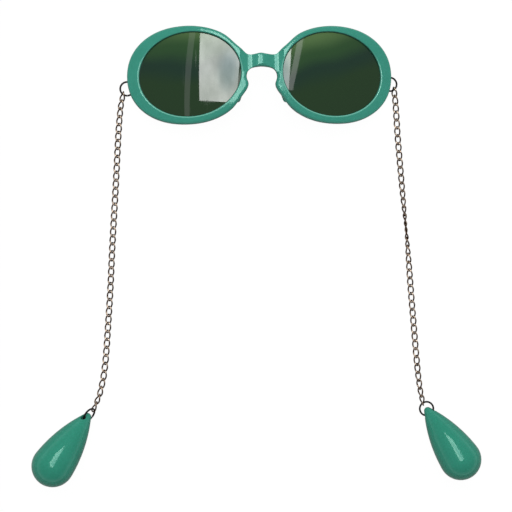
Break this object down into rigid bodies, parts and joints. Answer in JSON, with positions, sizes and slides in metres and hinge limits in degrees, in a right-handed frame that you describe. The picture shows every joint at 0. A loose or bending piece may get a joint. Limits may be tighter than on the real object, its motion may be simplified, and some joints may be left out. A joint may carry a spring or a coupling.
{
  "type": "sunglasses with drop chains",
  "caption": "Temple-free oval sunglasses held on by curb chains that loop over the ears and end in teardrop counterweights; laid out flat.",
  "frame": {"origin": "bottom centre of the whole part's box, as it lies flat with the front's back face down", "axes": "+Z the way the front looks (away from the surface it lies on), +Y up on the wearer's face, +X the viewer's right"},
  "size_m": [0.2416, 0.2458, 0.0229],
  "materials": {
    "frame_plastic": "polished, slightly translucent jade green",
    "drop_plastic": "polished, slightly translucent jade green",
    "lens_tint": "polished, dark green tint",
    "chain_metal": "antiqued dark brown metal, worn bright on the edges",
    "ring_metal": "gunmetal plated"
  },
  "bodies": {
    "front": {"front_frame": "frame_plastic", "lens_left": "lens_tint", "lens_right": "lens_tint"},
    "frame_ring_left": {"frame_ring_left": "ring_metal"},
    "chain_left_01": {"chain_left_01": "chain_metal"},
    "chain_left_02": {"chain_left_02": "chain_metal"},
    "chain_left_03": {"chain_left_03": "chain_metal"},
    "chain_left_04": {"chain_left_04": "chain_metal"},
    "chain_left_05": {"chain_left_05": "chain_metal"},
    "chain_left_06": {"chain_left_06": "chain_metal"},
    "chain_left_07": {"chain_left_07": "chain_metal"},
    "chain_left_08": {"chain_left_08": "chain_metal"},
    "chain_left_09": {"chain_left_09": "chain_metal"},
    "chain_left_10": {"chain_left_10": "chain_metal"},
    "chain_left_11": {"chain_left_11": "chain_metal"},
    "chain_left_12": {"chain_left_12": "chain_metal"},
    "chain_left_13": {"chain_left_13": "chain_metal"},
    "chain_left_14": {"chain_left_14": "chain_metal"},
    "chain_left_15": {"chain_left_15": "chain_metal"},
    "chain_left_16": {"chain_left_16": "chain_metal"},
    "chain_left_17": {"chain_left_17": "chain_metal"},
    "chain_left_18": {"chain_left_18": "chain_metal"},
    "chain_left_19": {"chain_left_19": "chain_metal"},
    "chain_left_20": {"chain_left_20": "chain_metal"},
    "drop_ring_left": {"drop_ring_left": "ring_metal"},
    "drop_left": {"drop_left": "drop_plastic"},
    "frame_ring_right": {"frame_ring_right": "ring_metal"},
    "chain_right_01": {"chain_right_01": "chain_metal"},
    "chain_right_02": {"chain_right_02": "chain_metal"},
    "chain_right_03": {"chain_right_03": "chain_metal"},
    "chain_right_04": {"chain_right_04": "chain_metal"},
    "chain_right_05": {"chain_right_05": "chain_metal"},
    "chain_right_06": {"chain_right_06": "chain_metal"},
    "chain_right_07": {"chain_right_07": "chain_metal"},
    "chain_right_08": {"chain_right_08": "chain_metal"},
    "chain_right_09": {"chain_right_09": "chain_metal"},
    "chain_right_10": {"chain_right_10": "chain_metal"},
    "chain_right_11": {"chain_right_11": "chain_metal"},
    "chain_right_12": {"chain_right_12": "chain_metal"},
    "chain_right_13": {"chain_right_13": "chain_metal"},
    "chain_right_14": {"chain_right_14": "chain_metal"},
    "chain_right_15": {"chain_right_15": "chain_metal"},
    "chain_right_16": {"chain_right_16": "chain_metal"},
    "chain_right_17": {"chain_right_17": "chain_metal"},
    "chain_right_18": {"chain_right_18": "chain_metal"},
    "chain_right_19": {"chain_right_19": "chain_metal"},
    "chain_right_20": {"chain_right_20": "chain_metal"},
    "drop_ring_right": {"drop_ring_right": "ring_metal"},
    "drop_right": {"drop_right": "drop_plastic"}
  },
  "joints": [
    {"name": "ring_swing_left", "type": "hinge", "parent": "front", "child": "frame_ring_left", "pos_m": [-0.06459, 0.091, 0.0019], "axis": [0, -1, 0], "range_deg": [-6, 95]},
    {"name": "bend_left_01", "type": "hinge", "parent": "frame_ring_left", "child": "chain_left_01", "pos_m": [-0.07023, 0.08882, 0.0016], "axis": [0.0522, 0, -0.9986], "range_deg": [-21, 40]},
    {"name": "bend_left_02", "type": "hinge", "parent": "chain_left_01", "child": "chain_left_02", "pos_m": [-0.07186, 0.08038, 0.00158], "axis": [0.4352, -0.0224, -0.9001], "range_deg": [-18, 18]},
    {"name": "bend_left_03", "type": "hinge", "parent": "chain_left_02", "child": "chain_left_03", "pos_m": [-0.07273, 0.07183, 0.00137], "axis": [0.9858, -0.076, 0.1495], "range_deg": [-18, 18]},
    {"name": "bend_left_04", "type": "hinge", "parent": "chain_left_03", "child": "chain_left_04", "pos_m": [-0.07335, 0.06326, 0.00113], "axis": [-0.0009, -0.0148, 0.9999], "range_deg": [-18, 18]},
    {"name": "bend_left_05", "type": "hinge", "parent": "chain_left_04", "child": "chain_left_05", "pos_m": [-0.07389, 0.05468, 0.001], "axis": [-0.9981, 0.0623, 0], "range_deg": [-18, 18]},
    {"name": "bend_left_06", "type": "hinge", "parent": "chain_left_05", "child": "chain_left_06", "pos_m": [-0.07442, 0.0461, 0.001], "axis": [0, 0, -1], "range_deg": [-18, 18]},
    {"name": "bend_left_07", "type": "hinge", "parent": "chain_left_06", "child": "chain_left_07", "pos_m": [-0.07498, 0.03752, 0.001], "axis": [0.9976, -0.0688, 0], "range_deg": [-18, 18]},
    {"name": "bend_left_08", "type": "hinge", "parent": "chain_left_07", "child": "chain_left_08", "pos_m": [-0.07557, 0.02895, 0.001], "axis": [0, 0, 1], "range_deg": [-18, 18]},
    {"name": "bend_left_09", "type": "hinge", "parent": "chain_left_08", "child": "chain_left_09", "pos_m": [-0.07619, 0.02037, 0.001], "axis": [-0.9975, 0.07, 0], "range_deg": [-18, 18]},
    {"name": "bend_left_10", "type": "hinge", "parent": "chain_left_09", "child": "chain_left_10", "pos_m": [-0.07679, 0.0118, 0.001], "axis": [0, 0, -1], "range_deg": [-18, 18]},
    {"name": "bend_left_11", "type": "hinge", "parent": "chain_left_10", "child": "chain_left_11", "pos_m": [-0.07734, 0.00322, 0.001], "axis": [0.9985, -0.0555, 0], "range_deg": [-18, 18]},
    {"name": "bend_left_12", "type": "hinge", "parent": "chain_left_11", "child": "chain_left_12", "pos_m": [-0.07781, -0.00537, 0.001], "axis": [0, 0, 1], "range_deg": [-18, 18]},
    {"name": "bend_left_13", "type": "hinge", "parent": "chain_left_12", "child": "chain_left_13", "pos_m": [-0.0783, -0.01395, 0.001], "axis": [-0.9977, 0.0674, 0], "range_deg": [-18, 18]},
    {"name": "bend_left_14", "type": "hinge", "parent": "chain_left_13", "child": "chain_left_14", "pos_m": [-0.07888, -0.02252, 0.001], "axis": [0, 0, -1], "range_deg": [-18, 18]},
    {"name": "bend_left_15", "type": "hinge", "parent": "chain_left_14", "child": "chain_left_15", "pos_m": [-0.07954, -0.03109, 0.001], "axis": [0.997, -0.0777, 0], "range_deg": [-18, 18]},
    {"name": "bend_left_16", "type": "hinge", "parent": "chain_left_15", "child": "chain_left_16", "pos_m": [-0.0802, -0.03966, 0.001], "axis": [0, 0, 1], "range_deg": [-18, 18]},
    {"name": "bend_left_17", "type": "hinge", "parent": "chain_left_16", "child": "chain_left_17", "pos_m": [-0.08086, -0.04824, 0.001], "axis": [-0.9957, 0.0929, 0], "range_deg": [-18, 18]},
    {"name": "bend_left_18", "type": "hinge", "parent": "chain_left_17", "child": "chain_left_18", "pos_m": [-0.08166, -0.05679, 0.00177], "axis": [-0.0206, -0.1466, -0.989], "range_deg": [-18, 18]},
    {"name": "bend_left_19", "type": "hinge", "parent": "chain_left_18", "child": "chain_left_19", "pos_m": [-0.08285, -0.06531, 0.00306], "axis": [0.9028, -0.1539, 0.4016], "range_deg": [-18, 18]},
    {"name": "bend_left_20", "type": "hinge", "parent": "chain_left_19", "child": "chain_left_20", "pos_m": [-0.08489, -0.07366, 0.00444], "axis": [-0.64, 0.394, 0.6597], "range_deg": [-18, 18]},
    {"name": "bend_left_21", "type": "hinge", "parent": "chain_left_20", "child": "drop_ring_left", "pos_m": [-0.08826, -0.08157, 0.0059], "axis": [-0.6816, 0.4984, -0.5358], "range_deg": [-40, 40]},
    {"name": "drop_swing_left", "type": "hinge", "parent": "drop_ring_left", "child": "drop_left", "pos_m": [-0.09239, -0.08609, 0.0066], "axis": [-0.3444, 0.4275, 0.8358], "range_deg": [-60, 60]},
    {"name": "ring_swing_right", "type": "hinge", "parent": "front", "child": "frame_ring_right", "pos_m": [0.07181, 0.0931, 0.0019], "axis": [0, 1, 0], "range_deg": [-6, 95]},
    {"name": "bend_right_01", "type": "hinge", "parent": "frame_ring_right", "child": "chain_right_01", "pos_m": [0.07746, 0.09092, 0.0016], "axis": [0.0522, 0, 0.9986], "range_deg": [-15, 40]},
    {"name": "bend_right_02", "type": "hinge", "parent": "chain_right_01", "child": "chain_right_02", "pos_m": [0.07833, 0.08228, 0.00158], "axis": [0.4333, 0.046, -0.9001], "range_deg": [-18, 18]},
    {"name": "bend_right_03", "type": "hinge", "parent": "chain_right_02", "child": "chain_right_03", "pos_m": [0.07882, 0.0736, 0.00137], "axis": [0.9875, 0.0504, 0.1495], "range_deg": [-18, 18]},
    {"name": "bend_right_04", "type": "hinge", "parent": "chain_right_03", "child": "chain_right_04", "pos_m": [0.0793, 0.06493, 0.00113], "axis": [0.0009, -0.0124, 0.9999], "range_deg": [-18, 18]},
    {"name": "bend_right_05", "type": "hinge", "parent": "chain_right_04", "child": "chain_right_05", "pos_m": [0.07993, 0.05626, 0.00102], "axis": [-0.9972, -0.0741, 0], "range_deg": [-18, 18]},
    {"name": "bend_right_06", "type": "hinge", "parent": "chain_right_05", "child": "chain_right_06", "pos_m": [0.08058, 0.04759, 0.00116], "axis": [-0.0857, -0.0336, -0.9958], "range_deg": [-18, 18]},
    {"name": "bend_right_07", "type": "hinge", "parent": "chain_right_06", "child": "chain_right_07", "pos_m": [0.08119, 0.03892, 0.0014], "axis": [0.9452, 0.0607, -0.3208], "range_deg": [-18, 18]},
    {"name": "bend_right_08", "type": "hinge", "parent": "chain_right_07", "child": "chain_right_08", "pos_m": [0.08183, 0.03026, 0.00166], "axis": [0.6244, 0.066, 0.7783], "range_deg": [-18, 18]},
    {"name": "bend_right_09", "type": "hinge", "parent": "chain_right_08", "child": "chain_right_09", "pos_m": [0.08254, 0.0216, 0.00182], "axis": [-0.447, -0.035, 0.8938], "range_deg": [-11, 12]},
    {"name": "bend_right_10", "type": "hinge", "parent": "chain_right_09", "child": "chain_right_10", "pos_m": [0.08327, 0.01294, 0.00185], "axis": [-0.9971, -0.0756, 0], "range_deg": [-18, 18]},
    {"name": "bend_right_11", "type": "hinge", "parent": "chain_right_10", "child": "chain_right_11", "pos_m": [0.08392, 0.00427, 0.00185], "axis": [-0.448, -0.0207, -0.8938], "range_deg": [-11, 10]},
    {"name": "bend_right_12", "type": "hinge", "parent": "chain_right_11", "child": "chain_right_12", "pos_m": [0.0845, -0.0044, 0.00176], "axis": [0.6251, 0.0602, -0.7782], "range_deg": [-18, 18]},
    {"name": "bend_right_13", "type": "hinge", "parent": "chain_right_12", "child": "chain_right_13", "pos_m": [0.08506, -0.01307, 0.00154], "axis": [0.9455, 0.0564, 0.3208], "range_deg": [-18, 18]},
    {"name": "bend_right_14", "type": "hinge", "parent": "chain_right_13", "child": "chain_right_14", "pos_m": [0.08566, -0.02174, 0.00128], "axis": [-0.0859, -0.0292, 0.9959], "range_deg": [-18, 18]},
    {"name": "bend_right_15", "type": "hinge", "parent": "chain_right_14", "child": "chain_right_15", "pos_m": [0.08631, -0.03041, 0.00108], "axis": [-0.9972, -0.0745, 0], "range_deg": [-18, 18]},
    {"name": "bend_right_16", "type": "hinge", "parent": "chain_right_15", "child": "chain_right_16", "pos_m": [0.08696, -0.03907, 0.001], "axis": [0, 0, -1], "range_deg": [-18, 18]},
    {"name": "bend_right_17", "type": "hinge", "parent": "chain_right_16", "child": "chain_right_17", "pos_m": [0.08757, -0.04774, 0.001], "axis": [0.998, 0.0638, 0], "range_deg": [-18, 18]},
    {"name": "bend_right_18", "type": "hinge", "parent": "chain_right_17", "child": "chain_right_18", "pos_m": [0.08812, -0.05641, 0.00147], "axis": [-0.0057, 0.0894, 0.996], "range_deg": [-18, 18]},
    {"name": "bend_right_19", "type": "hinge", "parent": "chain_right_18", "child": "chain_right_19", "pos_m": [0.08867, -0.06509, 0.00225], "axis": [-0.9591, -0.0696, 0.2744], "range_deg": [-18, 18]},
    {"name": "bend_right_20", "type": "hinge", "parent": "chain_right_19", "child": "chain_right_20", "pos_m": [0.08954, -0.07373, 0.00308], "axis": [-0.5079, -0.1709, -0.8443], "range_deg": [-18, 18]},
    {"name": "bend_right_21", "type": "hinge", "parent": "chain_right_20", "child": "drop_ring_right", "pos_m": [0.09105, -0.08229, 0.0039], "axis": [0.3884, -0.2378, -0.8903], "range_deg": [-19, 40]},
    {"name": "drop_swing_right", "type": "hinge", "parent": "drop_ring_right", "child": "drop_right", "pos_m": [0.09394, -0.08707, 0.0066], "axis": [-0.808, -0.5524, -0.2049], "range_deg": [-60, 60]}
  ]
}
